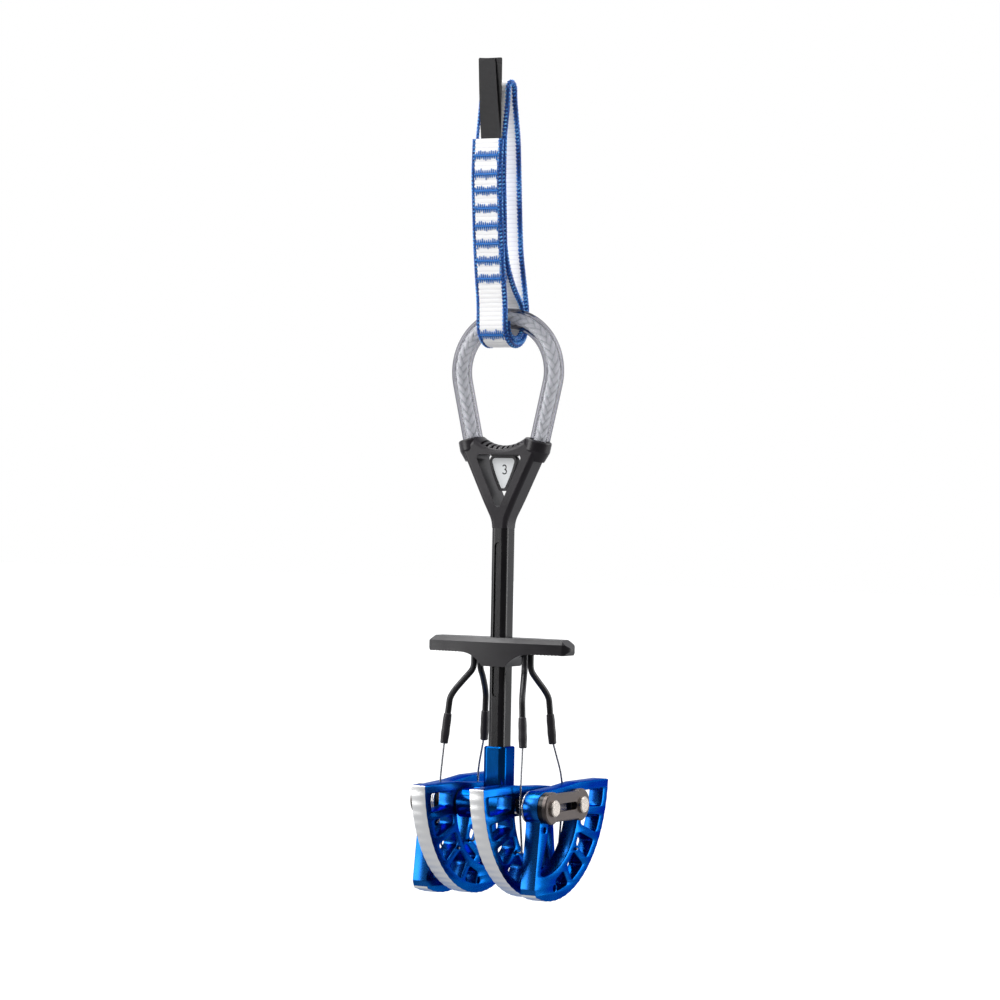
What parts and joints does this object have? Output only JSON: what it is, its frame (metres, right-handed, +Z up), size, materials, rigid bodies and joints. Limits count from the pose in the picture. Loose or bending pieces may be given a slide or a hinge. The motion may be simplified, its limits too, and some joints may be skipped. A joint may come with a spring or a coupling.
{
  "type": "spring loaded camming device",
  "caption": "Climbing cam with lobes on two axles, a sliding trigger bar on a sheathed stem, a thumb loop in clear tube and a sewn webbing sling.",
  "frame": {"origin": "where a carabiner bears in the top of the sling's eye", "axes": "+Z up the stem towards the eye, +Y along the axles, +X across the crack"},
  "size_m": [0.086, 0.0713, 0.3602],
  "materials": {
    "blue_lobe": "anodised blue, bare machined gripping edge",
    "blue_terminal": "anodised blue, satin",
    "axle_steel": "turned steel",
    "spring_steel": "drawn spring wire",
    "dark_plate": "black, satin",
    "black_plastic": "moulded, fine texture",
    "washer": "smooth",
    "crimp": "shrunk sleeve over the crimp",
    "cable_jacket": "jacketed cable",
    "clear_tube": "clear hose",
    "braid": "braided cord",
    "size_plate": "pale plate",
    "webbing": "woven webbing with a blue edge",
    "stitching": "bar tacks",
    "label": "woven tab, bare"
  },
  "bodies": {
    "sling_body": {"sling": "webbing", "bar_tacks": "stitching", "sling_label": "label"},
    "stem_body": {"stem_sheath": "black_plastic", "stem_cord": "braid", "core_pin": "axle_steel", "stem_terminal": "blue_terminal", "yoke": "black_plastic", "near_size_plate": "size_plate", "far_size_plate": "size_plate", "thumb_loop_tube": "clear_tube", "thumb_loop_cord": "braid", "left_axle": "axle_steel", "right_axle": "axle_steel", "near_end_plate": "dark_plate", "far_end_plate": "dark_plate", "axle_spacers": "black_plastic", "thrust_washers": "washer", "gap_bushes": "black_plastic", "spring_1": "spring_steel", "spring_2": "spring_steel", "spring_3": "spring_steel", "spring_4": "spring_steel"},
    "trigger_body": {"trigger": "black_plastic"},
    "lobe_1_body": {"lobe_1": "blue_lobe"},
    "wire_1_body": {"trigger_wire_1": "spring_steel", "crimp_sleeve_1": "crimp", "trigger_cable_1": "cable_jacket"},
    "lobe_2_body": {"lobe_2": "blue_lobe"},
    "wire_2_body": {"trigger_wire_2": "spring_steel", "crimp_sleeve_2": "crimp", "trigger_cable_2": "cable_jacket"},
    "lobe_3_body": {"lobe_3": "blue_lobe"},
    "wire_3_body": {"trigger_wire_3": "spring_steel", "crimp_sleeve_3": "crimp", "trigger_cable_3": "cable_jacket"},
    "lobe_4_body": {"lobe_4": "blue_lobe"},
    "wire_4_body": {"trigger_wire_4": "spring_steel", "crimp_sleeve_4": "crimp", "trigger_cable_4": "cable_jacket"}
  },
  "joints": [
    {"name": "sling_swing", "type": "hinge", "parent": "sling_body", "child": "stem_body", "pos_m": [0.0073, 0, -0.10085], "axis": [0, 1, 0], "range_deg": [-30, 30]},
    {"name": "trigger_slide", "type": "slide", "parent": "stem_body", "child": "trigger_body", "axis": [0, 0, 1], "range_m": [0, 0.0462], "stiffness_N_per_m": 400, "springref_m": -0.02, "deforming": ["trigger_cable_1", "trigger_cable_2", "trigger_cable_3", "trigger_cable_4"]},
    {"name": "lobe_1_pivot", "type": "hinge", "parent": "stem_body", "child": "lobe_1_body", "pos_m": [-0.00527, 0, -0.30825], "axis": [0, -1, 0], "range_deg": [0, 86], "deforming": ["spring_1"]},
    {"name": "wire_1_pivot", "type": "hinge", "parent": "lobe_1_body", "child": "wire_1_body", "pos_m": [0.0222, 0, -0.32777], "axis": [0, 1, 0], "range_deg": [0, 90.27]},
    {"name": "lobe_2_pivot", "type": "hinge", "parent": "stem_body", "child": "lobe_2_body", "pos_m": [0.01987, 0, -0.30825], "axis": [0, 1, 0], "range_deg": [0, 86], "deforming": ["spring_2"]},
    {"name": "wire_2_pivot", "type": "hinge", "parent": "lobe_2_body", "child": "wire_2_body", "pos_m": [-0.0076, 0, -0.32777], "axis": [0, -1, 0], "range_deg": [0, 90.27]},
    {"name": "lobe_3_pivot", "type": "hinge", "parent": "stem_body", "child": "lobe_3_body", "pos_m": [0.01987, 0, -0.30825], "axis": [0, 1, 0], "range_deg": [0, 86], "deforming": ["spring_3"]},
    {"name": "wire_3_pivot", "type": "hinge", "parent": "lobe_3_body", "child": "wire_3_body", "pos_m": [-0.0076, 0, -0.32777], "axis": [0, -1, 0], "range_deg": [0, 90.27]},
    {"name": "lobe_4_pivot", "type": "hinge", "parent": "stem_body", "child": "lobe_4_body", "pos_m": [-0.00527, 0, -0.30825], "axis": [0, -1, 0], "range_deg": [0, 86], "deforming": ["spring_4"]},
    {"name": "wire_4_pivot", "type": "hinge", "parent": "lobe_4_body", "child": "wire_4_body", "pos_m": [0.0222, 0, -0.32777], "axis": [0, 1, 0], "range_deg": [0, 90.27]}
  ],
  "couplings": [
    {"joint": "lobe_1_pivot", "follows": "trigger_slide", "rad_per_m": 32.488},
    {"joint": "wire_1_pivot", "follows": "trigger_slide", "rad_per_m": 34.083},
    {"joint": "lobe_2_pivot", "follows": "trigger_slide", "rad_per_m": 32.488},
    {"joint": "wire_2_pivot", "follows": "trigger_slide", "rad_per_m": 34.083},
    {"joint": "lobe_3_pivot", "follows": "trigger_slide", "rad_per_m": 32.488},
    {"joint": "wire_3_pivot", "follows": "trigger_slide", "rad_per_m": 34.083},
    {"joint": "lobe_4_pivot", "follows": "trigger_slide", "rad_per_m": 32.488},
    {"joint": "wire_4_pivot", "follows": "trigger_slide", "rad_per_m": 34.083}
  ]
}
